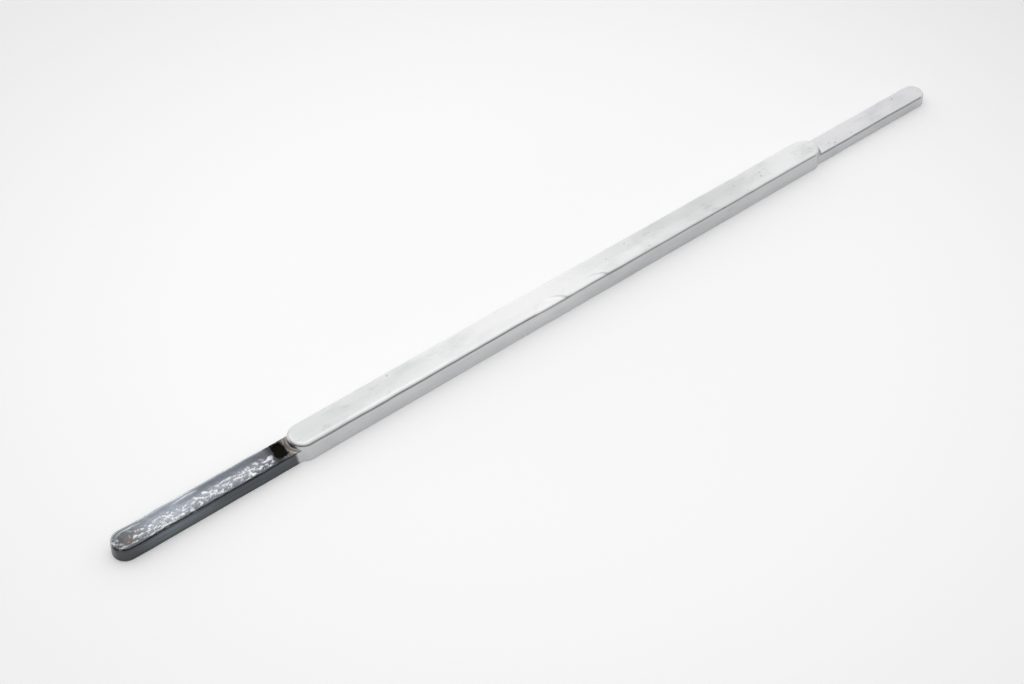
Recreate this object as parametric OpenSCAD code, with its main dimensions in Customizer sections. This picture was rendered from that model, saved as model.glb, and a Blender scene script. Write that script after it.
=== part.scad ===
// Cast tin bar: a round-nosed raised body between two lower end tabs, one flat poured face below

/* [Bar] */
// Length of the whole bar, tip to tip
bar_l = 400; // [300:1:500]
// Draft of the flanks and noses, in degrees from upright
draft_a = 5; // [1:0.5:8]
// Radius of the rim where the flanks meet the poured face
rim_r = 0.6; // [0.2:0.1:1]

/* [Body] */
// Width of the raised body across the poured face
body_w = 13; // [12:0.1:18]
// Height of the raised body above the poured face
body_h = 8.2; // [7:0.1:12]
// Radius along the body's upper edges and round its noses
body_edge_r = 1.8; // [0.5:0.1:3]

/* [Rough tab] */
// Length from the bar's tip to the nose of the body
rough_tab_l = 70; // [40:1:90]
// Width across the poured face
rough_tab_w = 10.6; // [7:0.1:11.5]
// Height above the poured face
rough_tab_h = 5.8; // [4:0.1:6.5]
// Radius along the upper edges and round the tip
rough_tab_edge_r = 0.9; // [0.4:0.1:1.8]

/* [Plain tab] */
// Length from the bar's tip to the nose of the body
plain_tab_l = 66; // [40:1:90]
// Width across the poured face
plain_tab_w = 10.6; // [7:0.1:11.5]
// Height above the poured face
plain_tab_h = 5.2; // [4:0.1:6.5]
// Radius along the upper edges and round the tip
plain_tab_edge_r = 1.3; // [0.4:0.1:1.8]

/* [Hidden] */
$fn = 96;
body_l = bar_l - rough_tab_l - plain_tab_l;
body_x = (rough_tab_l - plain_tab_l) / 2;

// Distance from the centre plane to the middle of a corner arc of radius r, z above the poured face,
// on a flank that leans in from the rim of a bar w wide
function arc_x(w, z, r) = w / 2 - rim_r + (rim_r - r) / cos(draft_a) - (z - rim_r) * tan(draft_a);

// Point of that arc where the drafted flank runs on from it
function flank_point(w, z, r) = [arc_x(w, z, r) + r * cos(draft_a), z + r * sin(draft_a)];

// One half of the cross-section, from the centre plane outwards: flat below, drafted, rounded at both corners
module half_section(w, h, edge_r) {
    edge_z = h - edge_r;
    polygon([
        [0, 0],
        [arc_x(w, rim_r, rim_r), 0],
        [arc_x(w, rim_r, rim_r), rim_r],
        flank_point(w, rim_r, rim_r),
        flank_point(w, edge_z, edge_r),
        [arc_x(w, edge_z, edge_r), edge_z],
        [arc_x(w, edge_z, edge_r), h],
        [0, h]
    ]);
    translate([arc_x(w, rim_r, rim_r), rim_r]) circle(rim_r);
    translate([arc_x(w, edge_z, edge_r), edge_z]) circle(edge_r);
}

// A drafted bar of that section, l long, with a half-turn nose at each end
module round_nosed_bar(l, w, h, edge_r) {
    straight_l = l - w;
    rotate([90, 0, 90]) linear_extrude(straight_l, center = true) {
        half_section(w, h, edge_r);
        mirror([1, 0]) half_section(w, h, edge_r);
    }
    for (turn = [0, 180])
        rotate([0, 0, turn]) translate([straight_l / 2, 0, 0])
            rotate_extrude(angle = 180, start = -90) half_section(w, h, edge_r);
}

// A low tab at the end that side points to, rooted under the middle of the body's nose
module end_tab(side, l, w, h, edge_r) {
    rooted_l = l + (body_w + w) / 2;
    translate([side * (bar_l - rooted_l) / 2, 0, 0]) round_nosed_bar(rooted_l, w, h, edge_r);
}

// The one casting
module ingot() {
    color("silver") {
        translate([body_x, 0, 0]) round_nosed_bar(body_l, body_w, body_h, body_edge_r);
        end_tab(-1, rough_tab_l, rough_tab_w, rough_tab_h, rough_tab_edge_r);
        end_tab(1, plain_tab_l, plain_tab_w, plain_tab_h, plain_tab_edge_r);
    }
}

ingot();
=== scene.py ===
import math
import random

import bmesh
import bpy
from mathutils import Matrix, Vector, noise


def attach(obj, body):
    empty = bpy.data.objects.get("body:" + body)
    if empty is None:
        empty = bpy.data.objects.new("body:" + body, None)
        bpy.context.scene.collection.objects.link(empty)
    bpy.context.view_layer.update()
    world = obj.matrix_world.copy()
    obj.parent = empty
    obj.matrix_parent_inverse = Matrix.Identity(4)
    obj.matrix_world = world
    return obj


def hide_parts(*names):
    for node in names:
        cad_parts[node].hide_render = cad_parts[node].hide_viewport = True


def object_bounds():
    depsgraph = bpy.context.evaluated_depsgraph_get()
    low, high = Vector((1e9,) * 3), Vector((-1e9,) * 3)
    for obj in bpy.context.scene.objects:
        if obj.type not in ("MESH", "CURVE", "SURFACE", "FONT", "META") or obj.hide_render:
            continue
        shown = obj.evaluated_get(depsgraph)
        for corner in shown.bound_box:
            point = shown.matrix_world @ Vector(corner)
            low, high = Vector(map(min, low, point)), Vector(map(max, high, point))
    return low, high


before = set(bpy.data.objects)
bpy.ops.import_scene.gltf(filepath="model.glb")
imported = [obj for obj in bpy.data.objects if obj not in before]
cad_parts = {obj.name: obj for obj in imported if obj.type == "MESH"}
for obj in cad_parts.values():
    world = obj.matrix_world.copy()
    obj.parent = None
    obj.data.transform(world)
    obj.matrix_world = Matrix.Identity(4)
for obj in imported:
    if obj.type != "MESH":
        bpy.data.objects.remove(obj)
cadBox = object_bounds()
mm = 0.001
scene = bpy.context.scene


# small helpers for the node trees
class Wire:
    def __init__(self, tree, socket):
        self.tree, self.socket = tree, socket

    def math(self, operation, *values):
        return self.tree.add("ShaderNodeMath", {"operation": operation}, dict(enumerate(values)))

    def __add__(self, other):
        return self.math("ADD", self, other)

    def __radd__(self, other):
        return self.math("ADD", other, self)

    def __sub__(self, other):
        return self.math("SUBTRACT", self, other)

    def __rsub__(self, other):
        return self.math("SUBTRACT", other, self)

    def __mul__(self, other):
        return self.math("MULTIPLY", self, other)

    def __rmul__(self, other):
        return self.math("MULTIPLY", other, self)

    def __abs__(self):
        return self.math("ABSOLUTE", self)

    def step(self, low, high):  # 0 below low, 1 above high, eased between
        return self.tree.add(
            "ShaderNodeMapRange",
            {"interpolation_type": "SMOOTHSTEP"},
            {"Value": self, "From Min": low, "From Max": high},
        )

    def bell(self, centre, half):  # 1 at the centre, 0 at half away
        return 1 - abs(self - centre).step(0, half)


class Tree:
    def __init__(self, tree):
        self.tree = tree
        tree.nodes.clear()

    def add(self, kind, settings=None, sockets=None, out=0):
        node = self.tree.nodes.new(kind)
        for name, value in (settings or {}).items():
            if name == "stops":
                ramp = node.color_ramp
                while len(ramp.elements) < len(value):
                    ramp.elements.new(0.5)
                for element, (place, colour) in zip(ramp.elements, value):
                    element.position, element.color = place, (*colour, 1)
            else:
                setattr(node, name, value)
        for name, value in (sockets or {}).items():
            if isinstance(value, Wire):
                self.tree.links.new(value.socket, node.inputs[name])
            else:
                node.inputs[name].default_value = value
        return Wire(self, node.outputs[out]) if node.outputs else None

    def mix(self, factor, first, second):
        first, second = [c if isinstance(c, Wire) else (*c, 1) for c in (first, second)]
        return self.add("ShaderNodeMix", {"data_type": "RGBA"}, {0: factor, 6: first, 7: second}, 2)

    def noise(self, place, scale, detail=2, rough=0.5, stretch=(1, 1, 1)):
        place = self.add("ShaderNodeVectorMath", {"operation": "MULTIPLY"}, {0: place, 1: stretch})
        sockets = {"Vector": place, "Scale": scale, "Detail": detail, "Roughness": rough}
        return self.add("ShaderNodeTexNoise", {}, sockets)

    def dot(self, first, second):
        return self.add("ShaderNodeVectorMath", {"operation": "DOT_PRODUCT"}, {0: first, 1: second}, 1)


def newMaterial(name):
    material = bpy.data.materials.new(name)
    material.use_nodes = True
    return material, Tree(material.node_tree)


def meshObject(name, bm):
    mesh = bpy.data.meshes.new(name)
    bm.to_mesh(mesh)
    bm.free()
    obj = bpy.data.objects.new(name, mesh)
    scene.collection.objects.link(obj)
    return obj


# the bar, modelled in millimetres and brought to metres when it is done
barLength, bodyWidth, bodyHeight = [(high - low) / mm for low, high in zip(*cadBox)]
bar = {
    "draft": 5,  # how far the flanks lean in, degrees
    "rimRadius": 0.6,
    "roughTab": {"length": 70, "width": 10.6, "height": 5.8, "edge": 0.9, "step": 0.24},
    "plainTab": {"length": 66, "width": 10.6, "height": 5.2, "edge": 1.3, "step": 0.55},
    "body": {"edge": 1.8, "step": 0.5},
    "roundSteps": 6,  # segments of a rounded corner
    "tabLift": 0.04,  # the tabs join the body a hair above the poured face
    "footZone": 0.05,  # and all that is lower than this goes down to it
    "weld": 0.002,
}
tabStart = -barLength / 2
bodyStart = bar["roughTab"]["length"] - barLength / 2
bodyEnd = barLength / 2 - bar["plainTab"]["length"]


def roundNosedBar(name, start, end, width, height, edge, step, base=0):
    lean = math.tan(math.radians(bar["draft"]))
    rim = bar["rimRadius"]
    foot = width / 2 + rim * (lean + math.hypot(1, lean) - 1)  # flank carried down to the base
    noses = start + width / 2, end - width / 2
    bm = bmesh.new()
    corners = [
        bm.verts.new((noses[0], y, z))
        for y, z in ((0, base), (foot, base), (foot - height * lean, height), (0, height))
    ]
    for first, second in zip(corners, corners[1:]):
        bm.edges.new((first, second))
    for corner, radius, turn in ((corners[1], rim, -1), (corners[2], edge, 1)):
        half = math.radians(90 + turn * bar["draft"]) / 2
        bmesh.ops.bevel(
            bm, geom=[corner], offset=radius / math.tan(half), offset_type="OFFSET",
            affect="VERTICES", segments=bar["roundSteps"], profile=0.5, material=-1,
        )
    for line in bm.edges[:]:
        upper = min(v.co.z for v in line.verts) > height / 2
        cuts = round(line.calc_length() / step / (1 if upper else 2)) - 1  # finer on top
        if cuts > 0:
            bmesh.ops.subdivide_edges(bm, edges=[line], cuts=cuts)
    profile = bm.verts[:] + bm.edges[:]
    turns = 2 * round(math.pi * width / 4 / step)
    run = noses[1] - noses[0]
    up = (0, 0, 1)
    for nose, ahead in ((noses[0], run), (noses[1], -run)):
        profile = bmesh.ops.spin(
            bm, geom=profile, cent=(nose, 0, 0), axis=up, angle=math.pi, steps=turns
        )["geom_last"]
        profile = bmesh.ops.spin(
            bm, geom=profile, cent=(0, 0, 0), axis=up, dvec=(ahead, 0, 0), angle=0, steps=1
        )["geom_last"]
    bmesh.ops.remove_doubles(bm, verts=bm.verts[:], dist=bar["weld"] / 2)
    longEdges = [e for e in bm.edges if e.calc_length() > run - 1]
    bmesh.ops.subdivide_edges(bm, edges=longEdges, cuts=round(run / step) - 1, use_grid_fill=True)
    bmesh.ops.recalc_face_normals(bm, faces=bm.faces[:])
    print(name, "faces", len(bm.faces), "open edges", sum(not e.is_manifold for e in bm.edges))
    return meshObject(name, bm)


body = roundNosedBar("castBody", bodyStart, bodyEnd, bodyWidth, bodyHeight, **bar["body"])
for name, start, end, reach in (
    ("roughTab", tabStart, bodyStart, (0, 1)),
    ("plainTab", bodyEnd, barLength / 2, (-1, 0)),
):
    form = dict(bar[name], base=bar["tabLift"])
    rooted = (bodyWidth + form["width"]) / 2  # how far the tab runs on inside the body
    del form["length"]
    tab = roundNosedBar(name, start + reach[0] * rooted, end + reach[1] * rooted, **form)
    union = body.modifiers.new(name, "BOOLEAN")
    union.operation, union.solver, union.object = "UNION", "EXACT", tab
joined = body.evaluated_get(bpy.context.evaluated_depsgraph_get())
bm = bmesh.new()
bm.from_mesh(joined.to_mesh())
for name in ("castBody", "roughTab", "plainTab"):
    bpy.data.objects.remove(bpy.data.objects[name])
bmesh.ops.remove_doubles(bm, verts=bm.verts[:], dist=bar["weld"])
bmesh.ops.triangulate(bm, faces=[f for f in bm.faces if len(f.verts) > 4])
print("joined faces", len(bm.faces), "open edges", sum(not e.is_manifold for e in bm.edges))


def ease(value, low, high):  # 0 below low, 1 above high
    share = min(max((value - low) / (high - low), 0), 1)
    return share * share * (3 - 2 * share)


def bell(value, centre, half):  # 1 at the centre, 0 at half away
    return 1 - ease(abs(value - centre), 0, half)


def wave(x, y, z, size, shift=0):  # smooth noise, about size mm from crest to crest
    return noise.noise(Vector((x, y, z + shift)) / size)


def insideStadium(x, y, start, end, width):  # distance in from a round-nosed outline
    over = max(start + width / 2 - x, 0, x - end + width / 2)
    return width / 2 - math.hypot(over, y)


# small gas pits, loosely in groups, on the body and the plain tab
pitting = {"groups": 30, "seed": 7, "endGap": 4, "halfWidth": 4.4, "size": (0.12, 0.36), "shadeAmount": 2.4}
dice = random.Random(pitting["seed"])
pits = []
for _ in range(pitting["groups"]):
    px = dice.uniform(bodyStart + pitting["endGap"], barLength / 2 - pitting["endGap"])
    py = dice.uniform(-pitting["halfWidth"], pitting["halfWidth"])
    widest = pitting["halfWidth"] + 0.4
    for _ in range(dice.choice((1, 1, 2, 4))):
        spot = px + dice.gauss(0, 1.6), min(max(py + dice.gauss(0, 0.9), -widest), widest)
        pits.append((*spot, dice.uniform(*pitting["size"]), dice.uniform(0.5, 1)))


def pitDepth(x, y):  # and how dark the pit is painted, as shade in its hollow
    depth = 0
    for px, py, size, squash in pits:
        if abs(px - x) < 1.2:
            depth = max(depth, size * bell(math.hypot((px - x) * squash, py - y), 0, size * 1.9))
    return depth, min(pitting["shadeAmount"] * depth, 0.8)


# laps on the near edge of the body, where the metal froze in two runs, and the worn slope beyond them
laps = [
    {"at": (-14.5, -6.4), "reach": (8.5, 5.4), "lean": -0.12, "depth": 0.42},
    {"at": (4.5, -6.3), "reach": (10.5, 4.9), "lean": -0.1, "depth": 0.36},
]
worn = {"start": 4, "border": -0.8, "fall": 0.055}
bodyFace = {"swell": 0.05, "ripple": 0.025, "crown": 0.004, "sink": 0.05}


def lapDrop(x, y):  # how far the top falls, and how dark the lip is painted, as shade in its crease
    drop, lip = 0, 0
    for lap in laps:
        dx = (x - lap["at"][0]) / lap["reach"][0]
        dy = (y - lap["at"][1] - lap["lean"] * (x - lap["at"][0])) / lap["reach"][1]
        within = 1 - math.hypot(dx, dy) + 0.07 * wave(x, y, 0, 3.1, 31)
        drop = max(drop, lap["depth"] * ease(within, 0, 0.26) * (0.55 + 0.45 * ease(-dx, -0.9, 0.6)))
        lip = max(lip, bell(within, 0.09, 0.2) * (0.15 + 0.6 * ease(dx, -0.6, 0.7)))
    slope = max(worn["border"] + 0.8 * wave(x, 0, 0, 23, 7) - y, 0)
    return drop + worn["fall"] * slope * ease(x, worn["start"], worn["start"] + 40), 0.62 * lip


def bodyTop(x, y):  # lift and painted shade on the raised body
    drop, lip = lapDrop(x, y)
    pit, shadeAmount = pitDepth(x, y)
    lift = bodyFace["swell"] * wave(x, y * 2.2, 0, 26) + bodyFace["ripple"] * wave(x, y * 1.5, 0, 6.5)
    return lift - bodyFace["crown"] * y * y - (bodyFace["sink"] + drop + 0.5 * pit), max(lip, shadeAmount)


def plainTop(x, y):  # lift and painted shade on the plain tab
    pit, shadeAmount = pitDepth(x, y)
    return 0.05 * wave(x, y * 2, 0, 14) + 0.05 * wave(x, y, 0, 2.3) - 0.6 * pit, shadeAmount


# the rough end: lumpy skin on the near half, flash along the edges, a cavity before the nose
rough = {
    "lump": 0.5,  # heights, mm
    "flash": 0.6,
    "ridge": 0.35,
    "knobSize": 1.3,  # what the skin is made up of, mm across
    "crumbSize": 0.6,
    "creaseSize": 0.55,
    "strip": (-1.6, 4.2),  # middle and half width of the lumpy strip
    "stripEnd": (60, 66),  # where it fades out, from the tip
    "tip": (7, 17),  # where the skin of the tip gives way to the strip
    "flashes": [  # far edge and near edge, from the tip
        {"side": 1, "first": -3, "last": 66, "inset": 0.7},
        {"side": -1, "first": 11, "last": 25, "inset": 1.3},
    ],
    "ridges": (7, 30),  # second ridges beside the far flash, from the tip
}
cavity = {"at": (bodyStart - 3.3, 0.8), "reach": (2.9, 5.1), "depth": 1.1}


def lumpySkin(x, y, rim):  # how lumpy it is, 0 to 1, and how far inside the strip
    along = x - tabStart
    tip = 1 - ease(along, *rough["tip"])
    strip = max(bell(y + 0.9 * wave(x, 0, 0, 7, 3), *rough["strip"]), 0.32 * tip)
    strip *= 1 - ease(along, *rough["stripEnd"])
    turn = 0.9 * wave(x, y, 0, 4.2, 21)
    knobs = wave(x * 0.75, y + turn, 0, rough["knobSize"], 4)
    knobs += 0.5 * wave(x, y - turn, 0, rough["crumbSize"], 12)
    creases = wave(x * 0.5, y * 0.8 - turn, 0, rough["creaseSize"], 61)  # drawn out along the bar
    creases = 1 - abs(creases) * 2.6
    lumps = 0.75 * ease(knobs, -0.16, 0.4) + 0.3 * ease(creases, 0.2, 0.95)
    lumps *= (0.9 + 0.35 * wave(x, y, 0, 5, 40)) * (0.12 + 0.88 * ease(strip, 0.1, 0.6))
    return min(max(lumps, 0), 1) * ease(rim, 0.3, 1.1), strip


def crests(x, y, rim):  # flash and ridges at a point, each with its height and gleam
    along = x - tabStart
    found = []
    for flash in rough["flashes"]:
        side, first, last = flash["side"], flash["first"], flash["last"]
        if y * side > 0:
            ragged = 0.5 + 0.8 * wave(x, side * 9, 0, 4.5, 17) + 0.45 * wave(x, 0, 0, 1.2, 5)
            stretch = ease(along, first, first + 3) * (1 - ease(along, last - 6, last))
            crest = stretch * min(max(ragged, 0.45), 1) * bell(rim, flash["inset"], 0.75)
            found.append((crest, rough["flash"], 1.5))
    for centre in rough["ridges"]:
        if y > 0:
            crest = bell(along, centre, 7) * bell(rim, 2.2 + 0.4 * wave(x, 0, 0, 4), 0.7)
            found.append((crest, rough["ridge"], 0.8))
    return found


def cavityHole(x, y):  # 1 inside the cavity, with a ragged outline
    dx, dy = [(a - b) / c for a, b, c in zip((x, y), cavity["at"], cavity["reach"])]
    within = 1 - (abs(dx) ** 4 + abs(dy) ** 4) ** (1 / 4)
    within += 0.32 * wave(x, y, 0, 2.1, 8) + 0.1 * wave(x, y, 0, 0.8, 15)
    return ease(within, 0, 0.34)


def roughTop(x, y, rim):  # lift, painted glints and painted shade on top of the rough tab
    pole = tabStart + bar["roughTab"]["width"] / 2
    fromPole = math.hypot(x - pole, y)
    calm = ease(fromPole, 0, 0.9)  # no folds right at the centre of the round end
    bulge = 0.06 * wave(x, y, 0, 11)
    x, y = pole + (x - pole) * calm, y * calm
    lumps, strip = lumpySkin(x, y, rim)
    lumps *= ease(fromPole, 0.8, 2.8)
    lift = rough["lump"] * lumps - 0.05 * strip + 0.05 * wave(x, y, 0, 1.7, 9)
    shine = ease(lumps, 0.14, 0.95)
    for crest, height, gleam in crests(x, y, rim):
        lift += height * crest
        shine = max(shine, gleam * crest)
    hole = cavityHole(x, y)
    # painted shade: black in the cavity, and fading out just in front of it
    shadeBlack = max(hole, 0.55 * bell(x, cavity["at"][0] - 2.4, 4.5))
    return lift * (1 - hole) - cavity["depth"] * hole + bulge, min(shine, 1) * (1 - hole), shadeBlack


# long edges that wander, the rough tab's more than the rest, and a poured face that is dished a little
edges = {"sway": 0.16, "tabSway": 0.3, "flankRipple": 0.05}
poured = {"dish": 0.1, "ripple": 0.05, "streak": 0.04}


def edgeSway(x, z, side):
    sway = edges["sway"] * (wave(x, side * 30, 0, 17) + 0.5 * wave(x, side * 30, z, 5.5) - 0.5)
    if x < bodyStart - 2:
        sway += edges["tabSway"] * (wave(x, side * 50, 0, 8) - 0.3) * (0.4 if side < 0 else 1)
    return sway


def pouredDip(x, y, rim):  # slow ripples, with the rim left on the floor
    ripples = poured["ripple"] * wave(x, y, 0, 7) + poured["streak"] * wave(x * 0.4, y, 0, 2.2)
    return ease(rim, 0.9, 3.5) * (poured["dish"] + ripples)


bm.normal_update()
shine = bm.verts.layers.float.new("shine")  # bright crests of the rough end, painted near-white as glints
grime = bm.verts.layers.float.new("grime")  # painted shade: dark in pits, lap lips, roots and the cavity
mould = bm.verts.layers.float.new("mould")  # 1 on the flanks, that lay against the mould; it carries their painted shade
roots = []
moves = {}
for v in bm.verts:
    if v.co.z < bar["footZone"]:
        v.co.z = 0
    x, y, z = v.co
    n = v.normal
    side = 1 if y > 0 else -1
    top, base = ease(n.z, 0.55, 0.95), ease(-n.z, 0.55, 0.95)
    flank = 1 - top - base
    inBody = insideStadium(x, y, bodyStart, bodyEnd, bodyWidth)
    inBar = insideStadium(x, y, tabStart, barLength / 2, bar["roughTab"]["width"])
    lift, shadeAmount, gleam, rootShade = 0, 0, 0, 0
    tab = bar["roughTab"] if x < 0 else bar["plainTab"]
    if -2.2 < inBody < 0.9 and abs(z - tab["height"]) < 0.9:  # where the body rises from the tab; painted shade in that corner
        roots.append(v)
        rootShade = bell(inBody, -0.2, 1.1) * top
    if top > 0 and inBody > 0 and z > bodyHeight - 1.2:
        lift, shadeAmount = bodyTop(x, y)
    elif top > 0 and x < bodyStart + 3:
        lift, gleam, shadeAmount = roughTop(x, y, inBar)
    elif top > 0 and x > bodyEnd - 3:
        lift, shadeAmount = plainTop(x, y)
    if base > 0:
        lift -= base * pouredDip(x, y, inBar)
    lift = lift * max(top, base)
    lift += flank * edges["flankRipple"] * (wave(x, z, side * 40, 3.2) - 1)
    sideways = side * edgeSway(x, z, side) * ease(abs(y), 1.5, 5) * (1 - base)
    moves[v] = n * lift + Vector((0, sideways, 0))
    v[shine], v[grime], v[mould] = gleam, max(shadeAmount, rootShade), flank
low, high = [p / mm for p in cadBox]
for v, move in moves.items():
    v.co = [min(max(c, l), h) for c, l, h in zip(v.co + move, low, high)]
for _ in range(3):
    bmesh.ops.smooth_vert(
        bm, verts=roots, factor=0.5, use_axis_x=True, use_axis_y=True, use_axis_z=True
    )
print("relief done,", len(roots), "root points eased")
bmesh.ops.scale(bm, vec=(mm, mm, mm), verts=bm.verts[:])
bmesh.ops.recalc_face_normals(bm, faces=bm.faces[:])
for face in bm.faces:
    face.smooth = True
castBar = meshObject("castBar", bm)
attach(castBar, "root")
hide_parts("ingot")

# cast tin: bright metal with painted highlight and painted shade zones first, then the rough tab,
# painted dark as the dim room its mirror-like face reflects, then painted shade in hollows over both
# and scratches on the bright metal
finish = {
    "bright": (0.89, 0.893, 0.895),
    "dull": (0.64, 0.655, 0.66),
    "cloud": (0.68, 0.705, 0.69),
    # painted shade: grey on the flat middle of the top, which reflects less light than its rounded
    # edges
    "noseMiddleShade": (0.68, 0.715, 0.69),
    "farMiddleShade": (0.66, 0.665, 0.65),
    # painted highlight: the middle of the body near-white, as the softbox reflected in it
    "paintedHighlight": (0.965, 0.965, 0.965),
    "stripGrey": (0.7, 0.71, 0.71),
    "scuff": (0.52, 0.53, 0.54),
    "plainTab": (0.64, 0.63, 0.68),
    "tipGrey": (0.55, 0.56, 0.57),
    # painted shade on the flanks
    "flank": (0.5, 0.51, 0.52),
    "scorch": (0.3, 0.2, 0.14),
    # painted shade, near-black, in pits, lap lips, roots and the cavity
    "shadeBlack": (0.008, 0.007, 0.005),
    "hairline": (0.5, 0.5, 0.51),
}
# rough tab: painted dark as the dim room its mirror-like face reflects, painted shade on its flank,
# foot and near edge, painted glints on its crests, real dross tints at the tip
tabTintsAndPaintedLight = {
    "darkReflection": (0.1, 0.112, 0.135),
    "haze": (0.24, 0.27, 0.31),
    "streak": (0.42, 0.45, 0.5),
    "flank": (0.05, 0.06, 0.062),
    "foot": (0.05, 0.07, 0.055),
    "noseEnd": (0.045, 0.05, 0.06),
    "tip": (0.05, 0.06, 0.06),
    "brown": (0.19, 0.115, 0.1),
    "green": (0.12, 0.2, 0.16),
    "nearEdgeShade": (0.05, 0.058, 0.062),
    "strip": (0.5, 0.53, 0.59),
    "crest": (0.88, 0.895, 0.915),
}
zones = {  # middle and half length along the bar, mm
    "noseMiddleShade": (bodyStart + 22, 62),
    "farMiddleShade": (72, 48),
    "paintedHighlight": (-18, 66),
    "scorch": (bodyStart - 0.6, 2.4),
}
tin, t = newMaterial("castTin")
place = t.add("ShaderNodeTexCoord", out=3)
x, y, z = [1000 * t.add("ShaderNodeSeparateXYZ", {}, {0: place}, axis) for axis in range(3)]
crest, shadeAmount, side = [
    t.add("ShaderNodeAttribute", {"attribute_name": name}, out=2)
    for name in ("shine", "grime", "mould")
]
mottle = t.noise(place, 110, 4, 0.6, (0.45, 1, 1))
streaks = t.noise(place, 420, 3, 0.6, (0.05, 1, 1))  # drawn out along the bar
grain = t.noise(place, 2600, 2, 0.6)
clouds = t.noise(place, 34, 2, 0.5, (0.6, 1, 1))
hair = t.noise(place, 900, 1, 0.5, (0.012, 1, 1)).bell(0.5, 0.012)  # hairline scratches along the bar
rubs = t.noise(place, 240, 3, 0.6, (0.5, 1, 1)).step(0.57, 0.68)
scuffs = rubs * clouds.step(0.42, 0.58)  # rubbed spots, only in some places
foot = x - 0.075 * y * y + 2.4 * (mottle - 0.5)  # follows the foot of the nose, unevenly
onTab = (1 - foot.step(bodyStart - 1.9, bodyStart - 0.4)) * (0.25 + 0.75 * z.step(0.02, 0.5))
onPlain = x.step(bodyEnd + 0.2, bodyEnd + 1.5)
farTip = x.step(barLength / 2 - 24, barLength / 2 - 8) * clouds.step(0.42, 0.6)
middle = abs(y).bell(0, 6)  # painted shade zones keep to the middle of the face, the edges stay bright
aboveWorn = (y + 2.6 * (mottle - 0.5)).step(worn["border"] - 0.5, worn["border"] + 0.8)
aboveWorn = aboveWorn * x.step(worn["start"] - 10, worn["start"] + 25) * (1 - x.step(70, 120))

colour = t.mix(mottle.step(0.42, 0.78) * 0.8, finish["bright"], finish["dull"])
colour = t.mix(clouds.step(0.48, 0.72) * 0.5, colour, finish["cloud"])
# painted shade on the flat middle of the top, near the nose and toward the far end
colour = t.mix(x.bell(*zones["noseMiddleShade"]) * middle * 0.65, colour, finish["noseMiddleShade"])
colour = t.mix(x.bell(*zones["farMiddleShade"]) * middle * 0.4, colour, finish["farMiddleShade"])
# painted highlight along the middle of the body
colour = t.mix(x.bell(*zones["paintedHighlight"]) * 0.85, colour, finish["paintedHighlight"])
colour = t.mix(aboveWorn * 0.4, colour, finish["stripGrey"])
colour = t.mix(scuffs * 0.35, colour, finish["scuff"])
colour = t.mix(onPlain * 0.35, colour, finish["plainTab"])
colour = t.mix(farTip * 0.5, colour, finish["tipGrey"])
# painted shade on the flanks
colour = t.mix(side * (0.55 + 0.4 * streaks), colour, finish["flank"])

haze = clouds.step(0.35, 0.65) * 0.8 + mottle.step(0.4, 0.8) * 0.4
tipTint = (1 - x.step(tabStart + 6, tabStart + 14)) * z.step(4.4, 5.6) * 0.65
nearEdgeShade = (1 - y.step(-4.7, -2.8)) * z.step(4, 5)
strip = y.bell(-0.9, 3.8) * x.step(tabStart + 9, tabStart + 18)  # the lumpy strip is paler all over
strip = strip * (1 - x.step(bodyStart - 18, bodyStart - 7))
# the rough tab painted dark, as the dim room its mirror-like face reflects
skin = t.mix(haze, tabTintsAndPaintedLight["darkReflection"], tabTintsAndPaintedLight["haze"])
skin = t.mix(streaks.step(0.5, 0.68) * (1 - side) * 0.32, skin, tabTintsAndPaintedLight["streak"])
# painted shade on the tab's flank
skin = t.mix(side * (0.35 + 0.5 * streaks.step(0.35, 0.7)), skin, tabTintsAndPaintedLight["flank"])
# painted shade low on the tab, near the floor
skin = t.mix((1 - z.step(0.6, 2.4)) * 0.6, skin, tabTintsAndPaintedLight["foot"])
skin = t.mix(x.step(bodyStart - 44, bodyStart - 7) * 0.65, skin, tabTintsAndPaintedLight["noseEnd"])
skin = t.mix((1 - x.step(tabStart + 2, tabStart + 17)) * 0.8, skin, tabTintsAndPaintedLight["tip"])
skin = t.mix(tipTint * mottle.step(0.54, 0.66), skin, tabTintsAndPaintedLight["brown"])
skin = t.mix(tipTint * (1 - mottle.step(0.36, 0.46)), skin, tabTintsAndPaintedLight["green"])
# painted shade along the tab's near edge
skin = t.mix(nearEdgeShade * 0.6, skin, tabTintsAndPaintedLight["nearEdgeShade"])
skin = t.mix(strip * (0.2 + 0.55 * mottle), skin, tabTintsAndPaintedLight["strip"])
# crests and flash painted near-white, as glints
skin = t.mix(crest * (0.6 + 0.32 * x.step(tabStart + 3, tabStart + 13)), skin, tabTintsAndPaintedLight["crest"])

colour = t.mix(onTab * 0.95, colour, skin)
colour = t.mix(x.bell(*zones["scorch"]) * z.step(5, 6) * 0.6, colour, finish["scorch"])
# painted shade, near-black, in pits, lap lips, roots and the cavity
colour = t.mix(shadeAmount.step(0.12, 0.85) * (0.6 + 0.4 * onTab), colour, finish["shadeBlack"])
colour = t.mix(hair * mottle.step(0.4, 0.6) * (1 - onTab) * 0.3, colour, finish["hairline"])
shape = grain * 0.16 + streaks * 0.4 + mottle * 0.6
normal = t.add("ShaderNodeBump", {}, {"Strength": 0.3, "Distance": 0.0002, "Height": shape})
gloss = 0.17 + 0.18 * mottle + 0.08 * streaks + 0.1 * scuffs - onTab * 0.08 + shadeAmount * 0.3
surface = t.add(
    "ShaderNodeBsdfPrincipled",
    {},
    {"Base Color": colour, "Metallic": 1, "Roughness": gloss, "Normal": normal},
)
t.add("ShaderNodeOutputMaterial", {}, {"Surface": surface})
castBar.data.materials.append(tin)
print("bar done", len(castBar.data.polygons), "faces")

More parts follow.
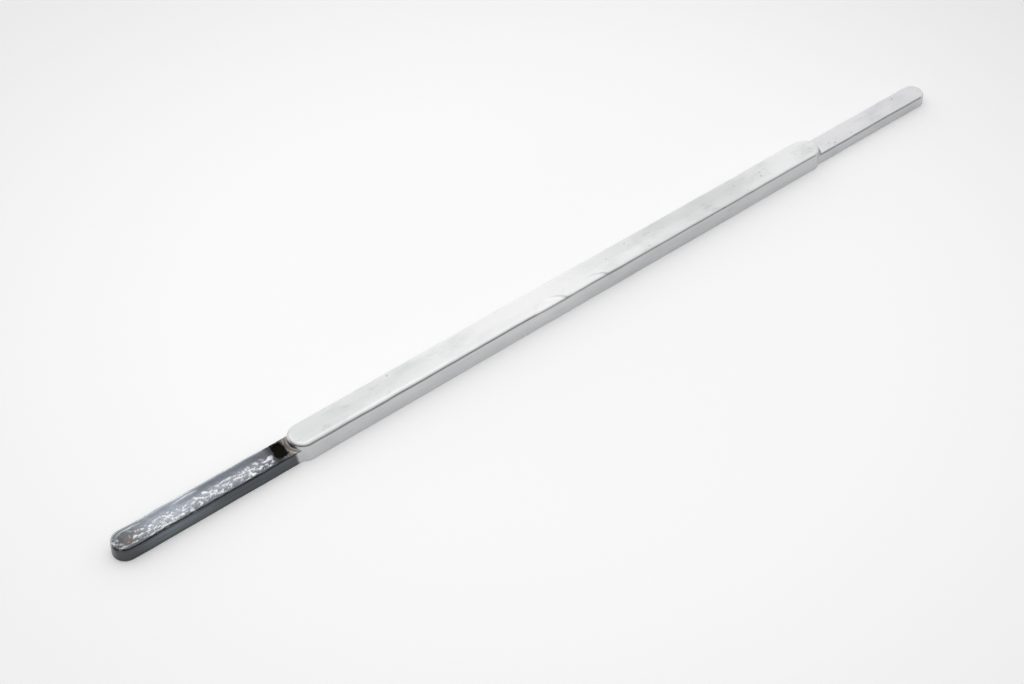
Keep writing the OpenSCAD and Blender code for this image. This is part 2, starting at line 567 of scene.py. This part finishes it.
# camera
viewpoint = {
    "heading": 38.75,  # degrees round from straight across the bar
    "down": 46,
    "distance": 612.75,
    "target": (-33.68, -5.22, 0),
    "lens": 57.24,
    "sensor": 36,
}
heading, down = math.radians(viewpoint["heading"]), math.radians(viewpoint["down"])
across = Vector((math.sin(heading), math.cos(heading), 0))
ahead = across * math.cos(down) - Vector((0, 0, math.sin(down)))
cameraData = bpy.data.cameras.new("camera")
cameraData.lens, cameraData.sensor_width = viewpoint["lens"], viewpoint["sensor"]
cameraData.clip_start = 10 * mm
camera = bpy.data.objects.new("camera", cameraData)
camera.location = mm * (Vector(viewpoint["target"]) - viewpoint["distance"] * ahead)
camera.rotation_euler = ahead.to_track_quat("-Z", "Y").to_euler()
scene.collection.objects.link(camera)
scene.camera = camera
scene.view_settings.view_transform = "Standard"

# pale floor, painted a little darker away from the bar, as a pool of light
paperLook = {
    "near": (0.975, 0.975, 0.975),
    "far": (0.81, 0.81, 0.81),
    "paintedFalloff": (0.1, 0.38),  # from the middle, m
    "size": 8,
    "glow": 0.17,
}
bm = bmesh.new()
bmesh.ops.create_grid(bm, x_segments=2, y_segments=2, size=paperLook["size"])
floor = meshObject("floor", bm)
paper, t = newMaterial("paleFloor")
place = t.add("ShaderNodeTexCoord", out=3)
away = t.add("ShaderNodeVectorMath", {"operation": "LENGTH"}, {0: place}, 1)
colour = t.mix(away.step(*paperLook["paintedFalloff"]), paperLook["near"], paperLook["far"])
cameraRay, glossyRay = [t.add("ShaderNodeLightPath", out=ray) for ray in (0, 3)]
glow = t.mix(cameraRay + glossyRay, (0, 0, 0), colour)
surface = t.add(
    "ShaderNodeBsdfPrincipled",
    {},
    {
        "Base Color": colour,
        "Roughness": 0.85,
        "Emission Color": glow,
        "Emission Strength": paperLook["glow"],
    },
)
t.add("ShaderNodeOutputMaterial", {}, {"Surface": surface})
floor.data.materials.append(paper)

# studio air, a bright wall behind the bar and a dim room on the camera's side, and one softbox
studio = {  # heights and levels of the air
    "wall": [(0, 1.05), (0.3, 1), (0.56, 0.86), (0.7, 0.98), (0.83, 0.86), (0.93, 0.95)],
    "dim": [(0, 0.05), (0.25, 0.09), (0.6, 0.4), (0.9, 0.95)],
    "turn": 0.3,  # how softly one goes over into the other
}
softbox = {
    "size": 1.4,
    "power": 5.6,
    "from": (-0.36, 0.34, 1.2),
    "hides": 0.85,  # how much of the air behind it is covered
    "spread": (0.8, 0.92),
}
lampPlace = Vector(softbox["from"])
world = bpy.data.worlds.new("studioAir")
scene.world = world
world.use_nodes = True
t = Tree(world.node_tree)
look = t.add("ShaderNodeTexCoord", out=0)
height = t.add("ShaderNodeSeparateXYZ", {}, {0: look}, 2)
wall, dim = [
    t.add("ShaderNodeValToRGB", {"stops": [(at, (level,) * 3) for at, level in stops]}, {0: height})
    for stops in (studio["wall"], studio["dim"])
]
level = t.mix(t.dot(look, across).step(-studio["turn"], studio["turn"]), dim, wall)
behind = t.dot(look, lampPlace.normalized()).step(*softbox["spread"]) * softbox["hides"]
level = t.mix(behind, level, (0, 0, 0))  # the softbox covers the air behind it
air = t.add("ShaderNodeBackground", {}, {"Color": level})
t.add("ShaderNodeOutputWorld", {}, {"Surface": air})

lampData = bpy.data.lights.new("softbox", "AREA")
lampData.size, lampData.energy = softbox["size"], softbox["power"]
lamp = bpy.data.objects.new("softbox", lampData)
lamp.location = lampPlace
lamp.rotation_euler = (-lampPlace).to_track_quat("-Z", "Y").to_euler()
scene.collection.objects.link(lamp)
print("light and camera done")
